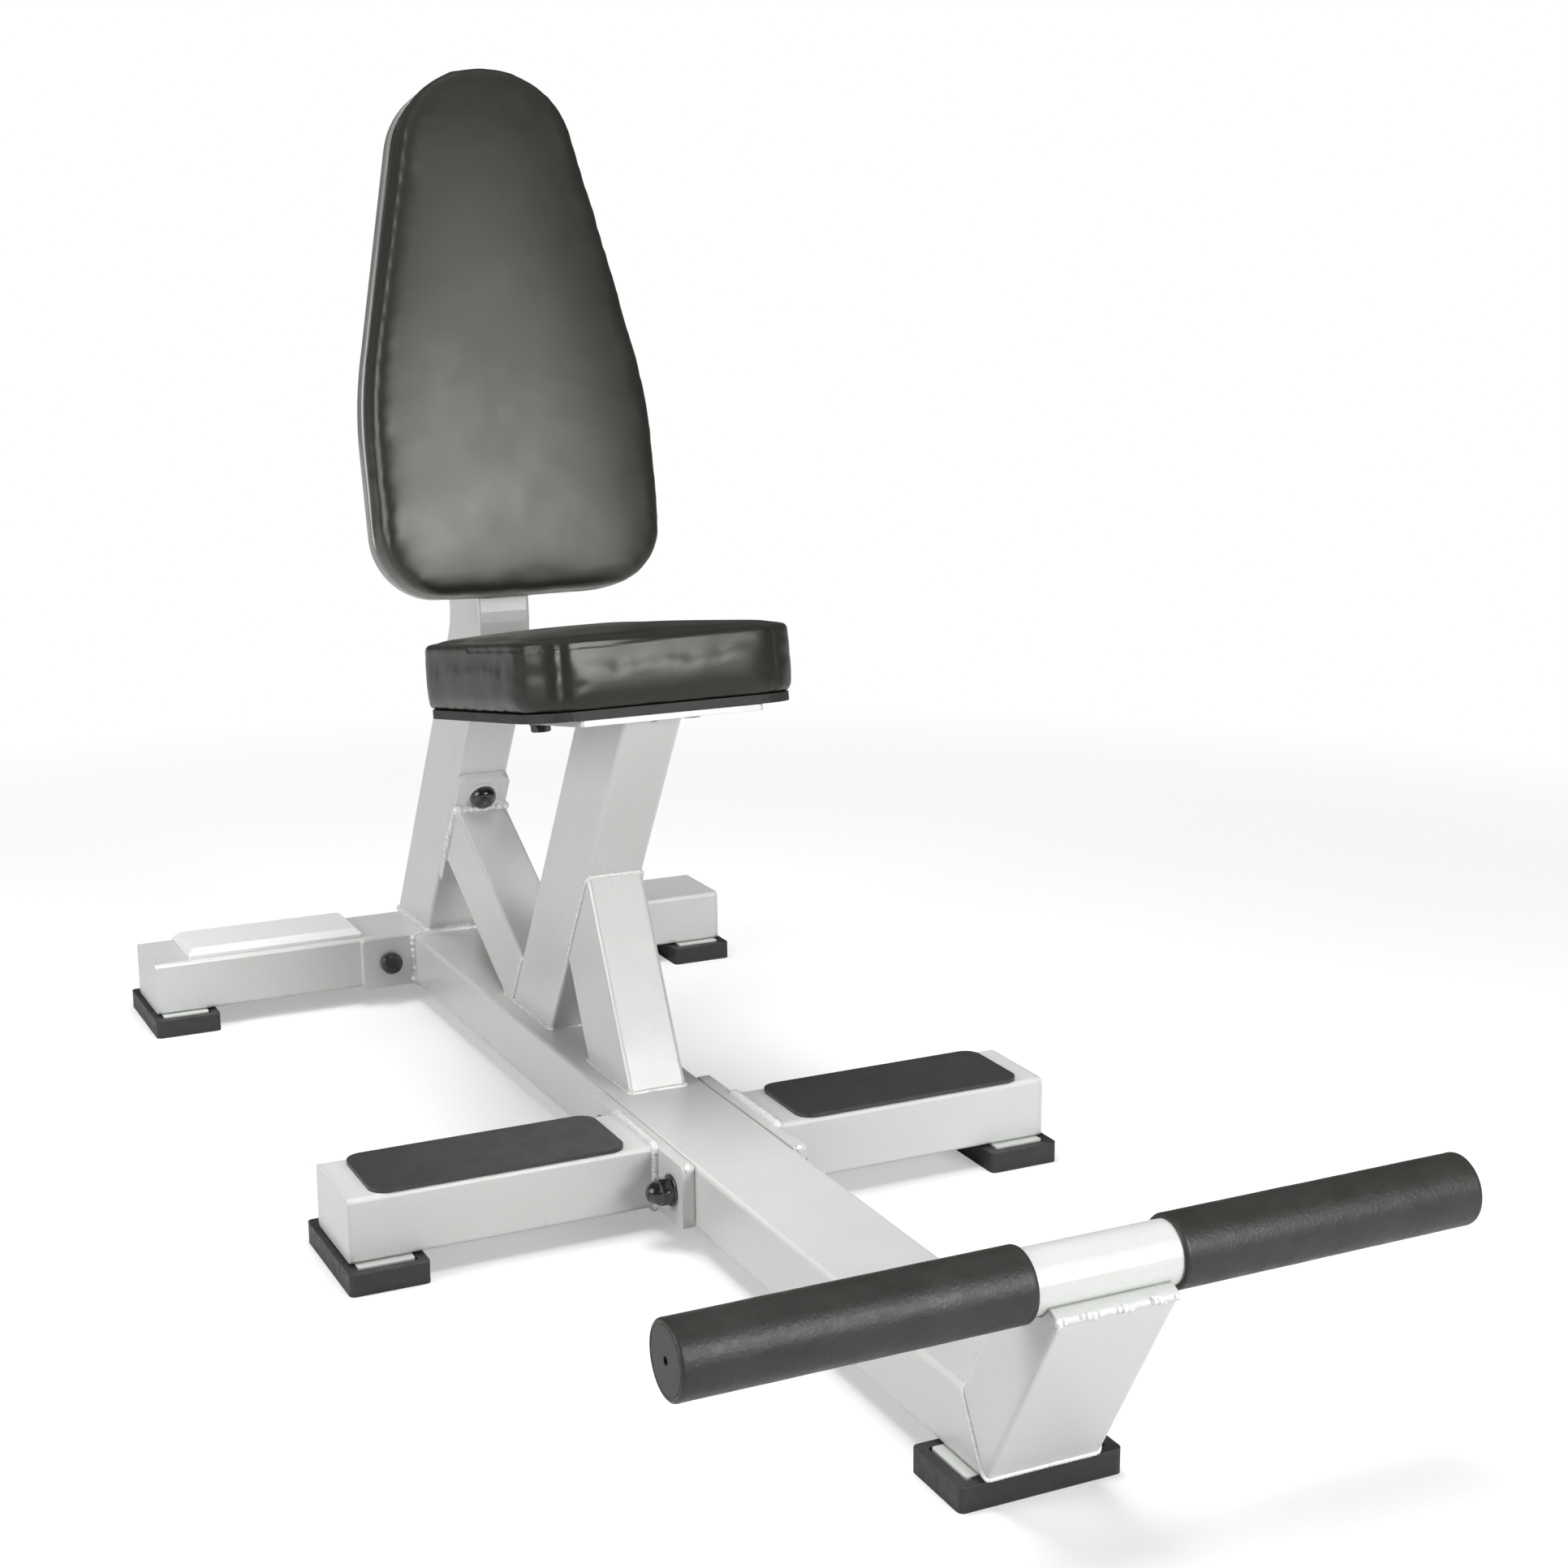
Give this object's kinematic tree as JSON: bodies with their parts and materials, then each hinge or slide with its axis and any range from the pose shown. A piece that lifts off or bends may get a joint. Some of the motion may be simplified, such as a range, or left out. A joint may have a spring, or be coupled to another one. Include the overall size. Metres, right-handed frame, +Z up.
{
  "type": "utility bench",
  "caption": "Upright training bench: padded seat and tapered back pad on a welded tube frame, with a foot bar and turning rollers.",
  "frame": {"origin": "on the floor, at the middle of the bench's outline seen from above", "axes": "+Z up; the user faces -Y, where the foot bar is; left in node names is -X, as seen from the front"},
  "size_m": [0.722, 1.57, 1.072],
  "materials": {
    "frame_paint": "light silver-grey satin paint over steel tube",
    "dark_steel": "black, low sheen",
    "black_vinyl": "black upholstery vinyl over foam, soft sheen",
    "painted_board": "black board, wrapped or painted",
    "black_rubber": "matte moulded rubber",
    "roller_foam": "dense foam with a smooth skin",
    "plate_metal": "bare bright plate with a chamfered edge"
  },
  "bodies": {
    "bench": {"back_board": "painted_board", "back_bolt_lower_left": "dark_steel", "back_bolt_lower_right": "dark_steel", "back_bolt_upper_left": "dark_steel", "back_bolt_upper_right": "dark_steel", "back_cushion": "black_vinyl", "back_mount": "dark_steel", "back_plate": "frame_paint", "base_rail": "frame_paint", "brace_bolt_lower": "dark_steel", "brace_bolt_upper": "dark_steel", "crossbar_left_end": "frame_paint", "crossbar_right_end": "frame_paint", "foot_bar": "frame_paint", "foot_post": "frame_paint", "front_brace": "frame_paint", "front_left_foot_plate": "frame_paint", "front_left_rubber_foot": "black_rubber", "front_middle_foot_plate": "frame_paint", "front_middle_rubber_foot": "black_rubber", "front_right_foot_plate": "frame_paint", "front_right_rubber_foot": "black_rubber", "left_outrigger": "frame_paint", "left_outrigger_end": "frame_paint", "left_outrigger_flange": "frame_paint", "left_step_pad": "black_rubber", "name_plate": "plate_metal", "outrigger_bolt_front": "dark_steel", "outrigger_bolt_rear": "dark_steel", "outrigger_nut_front": "dark_steel", "outrigger_nut_rear": "dark_steel", "rail_rear_flange": "frame_paint", "rear_bolt_cap_left": "dark_steel", "rear_bolt_cap_right": "dark_steel", "rear_bolt_left": "dark_steel", "rear_bolt_right": "dark_steel", "rear_brace": "frame_paint", "rear_brace_flange": "frame_paint", "rear_crossbar": "frame_paint", "rear_left_foot_plate": "frame_paint", "rear_left_rubber_foot": "black_rubber", "rear_right_foot_plate": "frame_paint", "rear_right_rubber_foot": "black_rubber", "rear_upright": "frame_paint", "right_outrigger": "frame_paint", "right_outrigger_end": "frame_paint", "right_outrigger_flange": "frame_paint", "right_step_pad": "black_rubber", "seat_board": "painted_board", "seat_bolt_left": "dark_steel", "seat_bolt_right": "dark_steel", "seat_cushion": "black_vinyl", "seat_plate": "frame_paint", "seat_post": "frame_paint", "upright_top_cap": "black_rubber"},
    "left_roller": {"left_foot_roller": "roller_foam"},
    "right_roller": {"right_foot_roller": "roller_foam"}
  },
  "joints": [
    {"name": "left_roller_turn", "type": "hinge", "parent": "bench", "child": "left_roller", "pos_m": [-0.1925, -0.75117, 0.2025], "axis": [1, 0, 0], "continuous": true},
    {"name": "right_roller_turn", "type": "hinge", "parent": "bench", "child": "right_roller", "pos_m": [0.1925, -0.75117, 0.2025], "axis": [1, 0, 0], "continuous": true}
  ]
}
